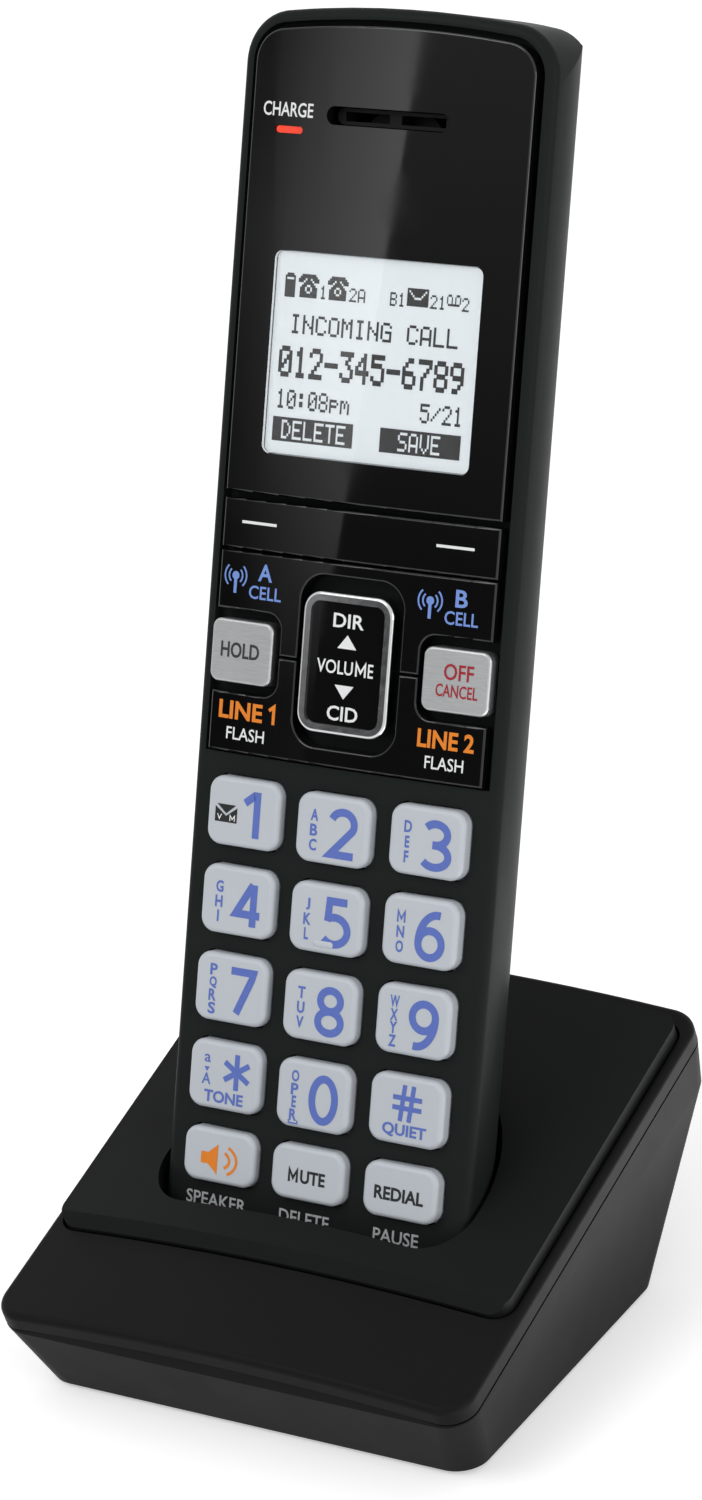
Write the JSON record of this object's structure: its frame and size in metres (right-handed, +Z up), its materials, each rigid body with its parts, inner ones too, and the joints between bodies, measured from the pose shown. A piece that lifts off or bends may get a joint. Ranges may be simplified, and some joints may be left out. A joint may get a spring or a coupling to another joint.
{
  "type": "cordless telephone handset and charging cradle",
  "caption": "Cordless telephone handset with display, navigation key and push-button keypad, leaning back in a low sloped charging cradle.",
  "frame": {"origin": "on the floor, under the middle of the whole object's box", "axes": "+X to the right of someone facing the keys, +Y towards the cradle's back, +Z up"},
  "size_m": [0.0776, 0.106, 0.1822],
  "materials": {
    "casing_plastic": "satin near-black moulding",
    "cradle_plastic": "satin black moulding",
    "platform_plastic": "smooth matte black moulding",
    "gloss_panel": "polished black",
    "display_cover": "clear",
    "display_glass": "pale grey-green display",
    "inner_plastic": "black moulding",
    "charge_light": "translucent red",
    "bright_ring": "polished",
    "silver_caps": "brushed",
    "key_plastic": "pale blue-grey, satin",
    "black_rubber": "matte",
    "circuit_board": "green lacquer",
    "capsule_metal": "plain",
    "battery_wrap": "printed film over metal cells",
    "contact_metal": "plated",
    "steel": "plain"
  },
  "bodies": {
    "charger": {"charger_base": "cradle_plastic", "charger_top_cover": "cradle_plastic", "charger_platform": "platform_plastic", "charger_feet": "black_rubber", "ballast_plate": "steel", "charger_screws": "steel", "charger_contacts": "contact_metal", "charger_board": "circuit_board", "power_jack": "inner_plastic"},
    "handset": {"front_housing": "casing_plastic", "back_housing": "casing_plastic", "front_bezel": "gloss_panel", "display_window": "display_cover", "lcd_module": "display_glass", "earpiece_grille": "inner_plastic", "charge_light_pipe": "charge_light", "keypad_mat": "black_rubber", "main_board": "circuit_board", "earpiece_receiver": "capsule_metal", "loudspeaker": "capsule_metal", "microphone": "inner_plastic", "antenna": "capsule_metal", "battery_pack": "battery_wrap", "battery_contacts": "contact_metal", "handset_contacts": "contact_metal", "handset_screws": "steel"},
    "softkey_bar": {"softkey_bar": "gloss_panel"},
    "cell_key": {"cell_key_plate": "gloss_panel"},
    "line_key": {"line_key_plate": "gloss_panel"},
    "navigation_key": {"nav_ring": "bright_ring", "nav_key": "gloss_panel"},
    "hold_key": {"hold_key": "silver_caps"},
    "off_key": {"off_key": "silver_caps"},
    "battery_door": {"battery_door": "casing_plastic"},
    "key_1": {"key_1": "key_plastic"},
    "key_2": {"key_2": "key_plastic"},
    "key_3": {"key_3": "key_plastic"},
    "key_4": {"key_4": "key_plastic"},
    "key_5": {"key_5": "key_plastic"},
    "key_6": {"key_6": "key_plastic"},
    "key_7": {"key_7": "key_plastic"},
    "key_8": {"key_8": "key_plastic"},
    "key_9": {"key_9": "key_plastic"},
    "key_star": {"key_star": "key_plastic"},
    "key_0": {"key_0": "key_plastic"},
    "key_hash": {"key_hash": "key_plastic"},
    "key_speaker": {"key_speaker": "key_plastic"},
    "key_mute": {"key_mute": "key_plastic"},
    "key_redial": {"key_redial": "key_plastic"}
  },
  "joints": [
    {"name": "handset_lift", "type": "slide", "parent": "charger", "child": "handset", "axis": [0, 0.351, 0.9364], "range_m": [0, 0.06]},
    {"name": "softkey_rock", "type": "hinge", "parent": "handset", "child": "softkey_bar", "pos_m": [0, 0.00915, 0.11393], "axis": [0, 0.351, 0.9364], "range_deg": [-1, 1], "stiffness_Nm_per_rad": 1},
    {"name": "cell_key_rock", "type": "hinge", "parent": "handset", "child": "cell_key", "pos_m": [0, 0.00524, 0.10349], "axis": [0, 0.351, 0.9364], "range_deg": [-1, 1], "stiffness_Nm_per_rad": 1},
    {"name": "line_key_rock", "type": "hinge", "parent": "handset", "child": "line_key", "pos_m": [0, 0.00018, 0.09001], "axis": [0, 0.351, 0.9364], "range_deg": [-1, 1], "stiffness_Nm_per_rad": 1},
    {"name": "navigation_rock", "type": "hinge", "parent": "handset", "child": "navigation_key", "pos_m": [0, 0.0028, 0.09698], "axis": [1, 0, 0], "range_deg": [-2, 2], "stiffness_Nm_per_rad": 0.4},
    {"name": "hold_press", "type": "slide", "parent": "handset", "child": "hold_key", "axis": [0, 0.9364, -0.351], "range_m": [0, 0.0005], "stiffness_N_per_m": 300},
    {"name": "off_press", "type": "slide", "parent": "handset", "child": "off_key", "axis": [0, 0.9364, -0.351], "range_m": [0, 0.0005], "stiffness_N_per_m": 300},
    {"name": "key_1_press", "type": "slide", "parent": "handset", "child": "key_1", "axis": [0, 0.9364, -0.351], "range_m": [0, 0.0008], "stiffness_N_per_m": 300},
    {"name": "key_2_press", "type": "slide", "parent": "handset", "child": "key_2", "axis": [0, 0.9364, -0.351], "range_m": [0, 0.0008], "stiffness_N_per_m": 300},
    {"name": "key_3_press", "type": "slide", "parent": "handset", "child": "key_3", "axis": [0, 0.9364, -0.351], "range_m": [0, 0.0008], "stiffness_N_per_m": 300},
    {"name": "key_4_press", "type": "slide", "parent": "handset", "child": "key_4", "axis": [0, 0.9364, -0.351], "range_m": [0, 0.0008], "stiffness_N_per_m": 300},
    {"name": "key_5_press", "type": "slide", "parent": "handset", "child": "key_5", "axis": [0, 0.9364, -0.351], "range_m": [0, 0.0008], "stiffness_N_per_m": 300},
    {"name": "key_6_press", "type": "slide", "parent": "handset", "child": "key_6", "axis": [0, 0.9364, -0.351], "range_m": [0, 0.0008], "stiffness_N_per_m": 300},
    {"name": "key_7_press", "type": "slide", "parent": "handset", "child": "key_7", "axis": [0, 0.9364, -0.351], "range_m": [0, 0.0008], "stiffness_N_per_m": 300},
    {"name": "key_8_press", "type": "slide", "parent": "handset", "child": "key_8", "axis": [0, 0.9364, -0.351], "range_m": [0, 0.0008], "stiffness_N_per_m": 300},
    {"name": "key_9_press", "type": "slide", "parent": "handset", "child": "key_9", "axis": [0, 0.9364, -0.351], "range_m": [0, 0.0008], "stiffness_N_per_m": 300},
    {"name": "key_star_press", "type": "slide", "parent": "handset", "child": "key_star", "axis": [0, 0.9364, -0.351], "range_m": [0, 0.0008], "stiffness_N_per_m": 300},
    {"name": "key_0_press", "type": "slide", "parent": "handset", "child": "key_0", "axis": [0, 0.9364, -0.351], "range_m": [0, 0.0008], "stiffness_N_per_m": 300},
    {"name": "key_hash_press", "type": "slide", "parent": "handset", "child": "key_hash", "axis": [0, 0.9364, -0.351], "range_m": [0, 0.0008], "stiffness_N_per_m": 300},
    {"name": "key_speaker_press", "type": "slide", "parent": "handset", "child": "key_speaker", "axis": [0, 0.9364, -0.351], "range_m": [0, 0.0008], "stiffness_N_per_m": 300},
    {"name": "key_mute_press", "type": "slide", "parent": "handset", "child": "key_mute", "axis": [0, 0.9364, -0.351], "range_m": [0, 0.0008], "stiffness_N_per_m": 300},
    {"name": "key_redial_press", "type": "slide", "parent": "handset", "child": "key_redial", "axis": [0, 0.9364, -0.351], "range_m": [0, 0.0008], "stiffness_N_per_m": 300},
    {"name": "battery_door_open", "type": "hinge", "parent": "handset", "child": "battery_door", "pos_m": [0, 0.00307, 0.03788], "axis": [-1, 0, 0], "range_deg": [0, 30]}
  ]
}
